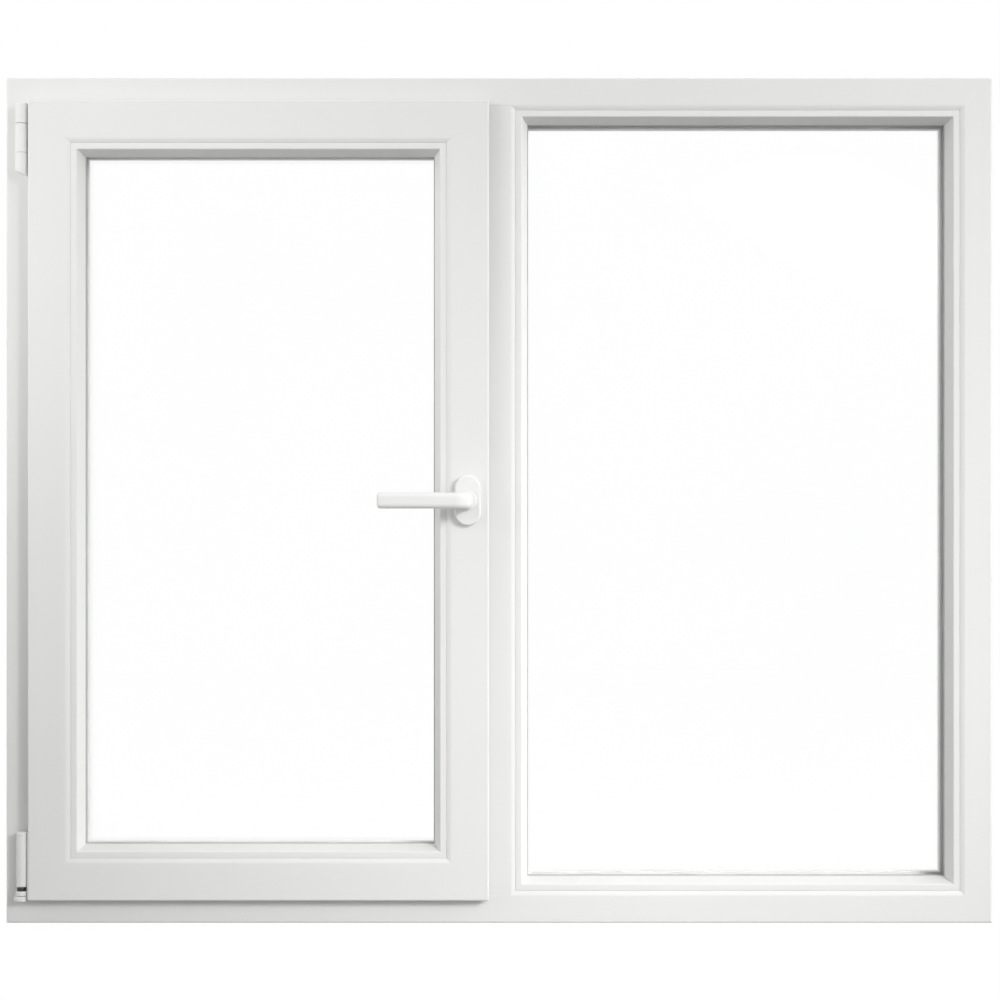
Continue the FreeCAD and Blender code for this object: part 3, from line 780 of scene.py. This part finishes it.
bmesh.ops.translate(shape, verts=end_verts, vec=(bend_x - lever_low.x, 0, 0))
bend_centre = (bend_x, lever_low.y + LEVER_DEPTH / 2 + LEVER_BEND, handle_z)
turned = bmesh.ops.spin(shape, geom=grip_end, cent=bend_centre, axis=(0, 0, 1), angle=math.radians(90),
                        steps=BEND_STEPS, use_merge=False)
neck_end = [item for item in turned["geom_last"] if isinstance(item, bmesh.types.BMFace)]
neck = bmesh.ops.extrude_face_region(shape, geom=neck_end)
neck_verts = [item for item in neck["geom"] if isinstance(item, bmesh.types.BMVert)]
neck_reach = lever_high.y - max(vert.co.y for vert in neck_verts)
bmesh.ops.translate(shape, verts=neck_verts, vec=(0, neck_reach, 0))
bmesh.ops.delete(shape, geom=grip_end + neck_end, context="FACES_ONLY")
tip_rim = [edge for edge in shape.edges if set(edge.verts) <= tip_verts]
round_edges(shape, tip_rim, TIP_ROUND, ROSE_EDGE_STEPS, clamp=False)
make_piece(shape, "handle_lever_grip", "handle", "handle_coat", handle_coat, "handle_lever")
print("lever %.0f mm long" % (1000 * (handle_x - lever_low.x)))

# %% Handle collar
COLLAR_HEIGHT = 0.008
COLLAR_ROUND = 0.002
COLLAR_STEPS = 4
BARREL_STEPS = 64


def barrel(radius, low, high, rims, steps):
    """A round bar along Z between two points, with both rims rounded."""
    shape = bmesh.new()
    bmesh.ops.create_cone(shape, cap_ends=True, segments=BARREL_STEPS, radius1=radius, radius2=radius,
                          depth=high.z - low.z)
    bmesh.ops.translate(shape, verts=shape.verts, vec=(low + high) / 2)
    if rims > 0:
        caps = [face for face in shape.faces if len(face.verts) == BARREL_STEPS]
        rim_edges = [edge for face in caps for edge in face.edges]
        round_edges(shape, rim_edges, rims, steps)
    return shape


collar_foot = Vector((0, 0, -COLLAR_HEIGHT))
collar = barrel(collar_radius, collar_foot, Vector((0, 0, 0)), COLLAR_ROUND, COLLAR_STEPS)
lay_down = Matrix.Rotation(math.radians(-90), 4, "X")
lay_down = Matrix.Translation((handle_x, lever_high.y, handle_z)) @ lay_down
bmesh.ops.transform(collar, matrix=lay_down, verts=collar.verts)
make_piece(collar, "handle_collar", "handle", "handle_coat", handle_coat)
print("collar %.0f mm across" % (2000 * collar_radius))

# %% [markdown]
# ## Hinges
# Two hinges carry the sash on one upright axis. The upper one shows a knuckle, a bearing and a cap with
# a slanted end, the lower one a long cover above a swivel with a bush. The bush is a real part, but its
# near-black finish is painted shade, so that the gap between swivel and cover reads dark. Pieces on the
# frame are half round in front and run straight back to its face. Joining a cylinder to a box could make
# them, but a D section drawn upwards has no seam. The others are barrels with rounded rims, and the bush
# has a groove, for which three planes cut it and the middle ring is drawn in.

# %% Hinges
KNUCKLE_ROUND = 0.0012
KNUCKLE_STEPS = 3
D_STEPS = 20
TURN_GAP = 0.0005

knuckle_low, knuckle_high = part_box("upper_hinge_knuckle")
knuckle_radius = (knuckle_high.x - knuckle_low.x) / 2


def d_bar(node, top):
    """An upright bar from a node's foot up to top, round in front and straight back to the frame's face."""
    low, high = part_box(node)
    shape = bmesh.new()
    corners = [shape.verts.new(place) for place in (
        (low.x, room_y, low.z), (high.x, room_y, low.z), (high.x, low.y, low.z), (low.x, low.y, low.z))]
    shape.faces.new(corners)
    round_corners(shape, corners[2:], knuckle_radius, D_STEPS)
    bmesh.ops.remove_doubles(shape, verts=shape.verts, dist=MERGE_DISTANCE)
    foot = list(shape.verts)
    grown = bmesh.ops.extrude_face_region(shape, geom=list(shape.faces))
    raised = [item for item in grown["geom"] if isinstance(item, bmesh.types.BMVert)]
    bmesh.ops.translate(shape, verts=raised, vec=(0, 0, top - low.z))
    return shape, foot, raised


def round_rims(shape, *ends):
    rims = [edge for edge in shape.edges if any(set(edge.verts) <= set(end) for end in ends)]
    round_edges(shape, rims, KNUCKLE_ROUND, KNUCKLE_STEPS)


bearing, foot, raised = d_bar("upper_hinge_bearing", knuckle_low.z - TURN_GAP)
round_rims(bearing, foot, raised)
make_piece(bearing, "upper_hinge_bearing_cover", "frame", "hinge_cover", cover_white, "upper_hinge_bearing")

swivel_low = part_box("lower_hinge_swivel")[0]
bearing, foot, raised = d_bar("lower_hinge_bearing", swivel_low.z - TURN_GAP)
round_rims(bearing, foot, raised)
make_piece(bearing, "lower_hinge_bearing_cover", "frame", "hinge_cover", cover_white, "lower_hinge_bearing")
print("bearings on the hinge jamb")

# %% Hinge cap
CAP_SLOPE = 0.009

cap_low, cap_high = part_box("upper_hinge_cap")
cap, foot, raised = d_bar("upper_hinge_cap", cap_high.z)
slanted = Matrix.Identity(4)
slanted[2][0] = -CAP_SLOPE / (cap_high.x - cap_low.x)
about = Matrix.Translation((cap_high.x, 0, 0))
bmesh.ops.transform(cap, matrix=about @ slanted @ about.inverted(), verts=foot)
round_rims(cap, foot, raised)
make_piece(cap, "upper_hinge_cap_cover", "frame", "hinge_cover", cover_white, "upper_hinge_cap")
print("cap with a foot slanted by %.0f mm" % (1000 * CAP_SLOPE))

# %% Hinge barrels
for node, body in (("upper_hinge_knuckle", "stay"), ("lower_hinge_cover", "sash")):
    low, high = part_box(node)
    middle = (low + high) / 2
    radius = middle.y - low.y
    lower_end = Vector((middle.x, middle.y, low.z))
    upper_end = Vector((middle.x, middle.y, high.z))
    shape = barrel(radius, lower_end, upper_end, KNUCKLE_ROUND, KNUCKLE_STEPS)
    make_piece(shape, node + "_barrel", body, "hinge_cover", cover_white, node)
print("barrels on the sash and the stay")

# %% Lower swivel
TRUNNION_RADIUS = 0.003
BUSH_RADIUS = 0.0064
BUSH_GAP = 0.0017
BUSH_ROUND = 0.0005
BUSH_STEPS = 2
BUSH_WAIST = 0.9
GROOVE_HALF = 0.1

turn_joint = next(joint for joint in frame["joints"] if joint["name"] == "sash_turn")
pivot = Vector(turn_joint["pos_m"])
swivel_low, swivel_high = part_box("lower_hinge_swivel")
swivel_foot = Vector((pivot.x, pivot.y, swivel_low.z))
swivel_head = Vector((pivot.x, pivot.y, swivel_high.z))
shape = barrel(knuckle_radius, swivel_foot, swivel_head, KNUCKLE_ROUND, KNUCKLE_STEPS)
make_piece(shape, "lower_hinge_swivel_barrel", "swivel", "hinge_cover", cover_white, "lower_hinge_swivel")

trunnion_tip = Vector((0, 0, swivel_high.x - pivot.x))
trunnion = barrel(TRUNNION_RADIUS, Vector((0, 0, 0)), trunnion_tip, BUSH_ROUND, BUSH_STEPS)
lay_right = Matrix.Translation(pivot) @ Matrix.Rotation(math.radians(90), 4, "Y")
bmesh.ops.transform(trunnion, matrix=lay_right, verts=trunnion.verts)
make_piece(trunnion, "lower_hinge_trunnion", "swivel", "hinge_steel", hinge_steel)

bush_head = Vector((pivot.x, pivot.y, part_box("lower_hinge_cover")[0].z - BUSH_GAP))
bush = barrel(BUSH_RADIUS, swivel_head, bush_head, BUSH_ROUND, BUSH_STEPS)
bush_height = bush_head.z - swivel_head.z
bush_middle = (swivel_head + bush_head) / 2
for offset in (-GROOVE_HALF, GROOVE_HALF, 0):
    cut_place = bush_middle + Vector((0, 0, offset * bush_height))
    everything = bush.verts[:] + bush.edges[:] + bush.faces[:]
    cut = bmesh.ops.bisect_plane(bush, geom=everything, plane_co=cut_place, plane_no=(0, 0, 1))
groove = [item for item in cut["geom_cut"] if isinstance(item, bmesh.types.BMVert)]
bmesh.ops.scale(bush, vec=(BUSH_WAIST, BUSH_WAIST, 1), space=Matrix.Translation(-pivot), verts=groove)
# The bush's near-black finish is painted shade for the gap above the swivel.
make_piece(bush, "lower_hinge_bush", "swivel", "hinge_steel", painted_shade_steel)
print("swivel with its trunnion and a grooved bush %.1f mm high" % (1000 * bush_height))

# %% [markdown]
# ## Screws
# Screws with domed heads and a star recess hold the strikers to the mullion and the rails to the sash.
# A head starts as a filled circle. One extrusion makes its wall, an inset that rises makes the dome,
# and a second inset gives the recess its outline. Pulling every fourth point inwards makes that outline
# a star, which is then sunk. A boolean could cut the star out as well, but it would leave a ragged
# mesh.

# %% Screw heads
SCREW_RADIUS = 0.0034
SCREW_HEIGHT = 0.0012
SCREW_STEPS = 24
DOME_WIDTH = 0.0008
RECESS_RADIUS = 0.0017
RECESS_PINCH = 0.70
RECESS_DEPTH = 0.0008
STAR_POINTS = 6
PINCH_BELOW = -0.5


def add_screw(shape, place):
    """Adds a screw head that stands on the X-Y plane, moved to its place by a matrix."""
    older = set(shape.verts)
    circle = bmesh.ops.create_circle(shape, cap_ends=True, segments=SCREW_STEPS, radius=SCREW_RADIUS)
    disc = list({face for vert in circle["verts"] for face in vert.link_faces})
    grown = bmesh.ops.extrude_face_region(shape, geom=disc)
    top = [item for item in grown["geom"] if isinstance(item, bmesh.types.BMFace)]
    bmesh.ops.translate(shape, verts=top[0].verts, vec=(0, 0, SCREW_HEIGHT / 2))
    bmesh.ops.inset_region(shape, faces=top, thickness=DOME_WIDTH)
    bmesh.ops.translate(shape, verts=top[0].verts, vec=(0, 0, SCREW_HEIGHT / 2))
    bmesh.ops.inset_region(shape, faces=top, thickness=SCREW_RADIUS - DOME_WIDTH - RECESS_RADIUS)
    waves = {vert: math.cos(STAR_POINTS * math.atan2(vert.co.y, vert.co.x)) for vert in top[0].verts}
    pinched = [vert for vert, wave in waves.items() if wave < PINCH_BELOW]
    bmesh.ops.scale(shape, vec=(RECESS_PINCH, RECESS_PINCH, 1), verts=pinched)
    sunk = bmesh.ops.extrude_face_region(shape, geom=top)
    floor_verts = [item for item in sunk["geom"] if isinstance(item, bmesh.types.BMVert)]
    bmesh.ops.translate(shape, verts=floor_verts, vec=(0, 0, -RECESS_DEPTH))
    bmesh.ops.delete(shape, geom=top, context="FACES_ONLY")
    bmesh.ops.transform(shape, matrix=place, verts=[vert for vert in shape.verts if vert not in older])


print("a screw head is %.1f mm across" % (2000 * SCREW_RADIUS))

# %% Screws on strikers and rails
STRIKER_MARGIN = 0.012
RAIL_MARGIN = 0.030
STAY_MARGIN = 0.008
LOCK_SCREWS = 4

striker_low, striker_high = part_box("strikers")
plate_ends = sorted({round(vert.co.z, 5) for vert in nodes["strikers"].data.vertices})
shape = bmesh.new()
facing_left = Matrix.Rotation(math.radians(-90), 4, "Y")
for low, high in zip(plate_ends[::2], plate_ends[1::2]):
    for z in (low + STRIKER_MARGIN, high - STRIKER_MARGIN):
        middle = (striker_low.x, (striker_low.y + striker_high.y) / 2, z)
        add_screw(shape, Matrix.Translation(middle) @ facing_left)
make_piece(shape, "striker_screws", "frame", "hardware_steel", hinge_steel)

lock_low, lock_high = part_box("lock_rail")
rail_thickness = rail_high.z - rail_low.z
rail_middle = (rail_low.y + rail_high.y) / 2
lock_step = (lock_high.z - lock_low.z - 2 * RAIL_MARGIN) / (LOCK_SCREWS - 1)
shape = bmesh.new()
facing_right = Matrix.Rotation(math.radians(90), 4, "Y")
for step in range(LOCK_SCREWS):
    middle = (lock_low.x + rail_thickness, rail_middle, lock_low.z + RAIL_MARGIN + lock_step * step)
    add_screw(shape, Matrix.Translation(middle) @ facing_right)
add_screw(shape, Matrix.Translation((rail_high.x - STAY_MARGIN, rail_middle, rail_high.z)))
make_piece(shape, "rail_screws", "sash", "hardware_steel", hinge_steel)
print(len(plate_ends), "screws on strikers,", LOCK_SCREWS + 1, "on rails")

# %% [markdown]
# ## Finishes for the measured pieces
# Seals, gaskets, spacers and the hardware have their true shape already, so they keep it and only get
# their finish. Modelling them again would only repeat it.

# %% Dress the measured pieces
dressed = {
    "sash_gasket_room": gasket_rubber, "sash_gasket_outer": outer_rubber_painted_light,
    "fixed_gasket_room": gasket_rubber, "fixed_gasket_outer": outer_rubber_painted_light,
    "sash_spacer": spacer_metal, "fixed_spacer": spacer_metal,
    "frame_seal": seal_rubber, "sash_seal": seal_rubber,
    "stay_arm": plated_steel["X"], "stay_rail": plated_steel["X"],
    "lock_rail": plated_steel["Z"], "strikers": plated_steel["Z"],
    "lower_hinge_strap": hinge_steel,
    "drain_covers": drain_white}
for node, material in dressed.items():
    mesh = nodes[node].data
    mesh.materials.clear()
    mesh.materials.append(material)
print("dressed", len(dressed), "measured pieces")

# %% [markdown]
# ## Size and hand-over
# The dressed window has to stay inside the measured one, so both boxes are written down side by side.

# %% Sizes
dressed_low, dressed_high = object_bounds()
for name, extent in (("measured", cad_high - cad_low), ("dressed", dressed_high - dressed_low)):
    print(name, [round(value, 4) for value in extent])
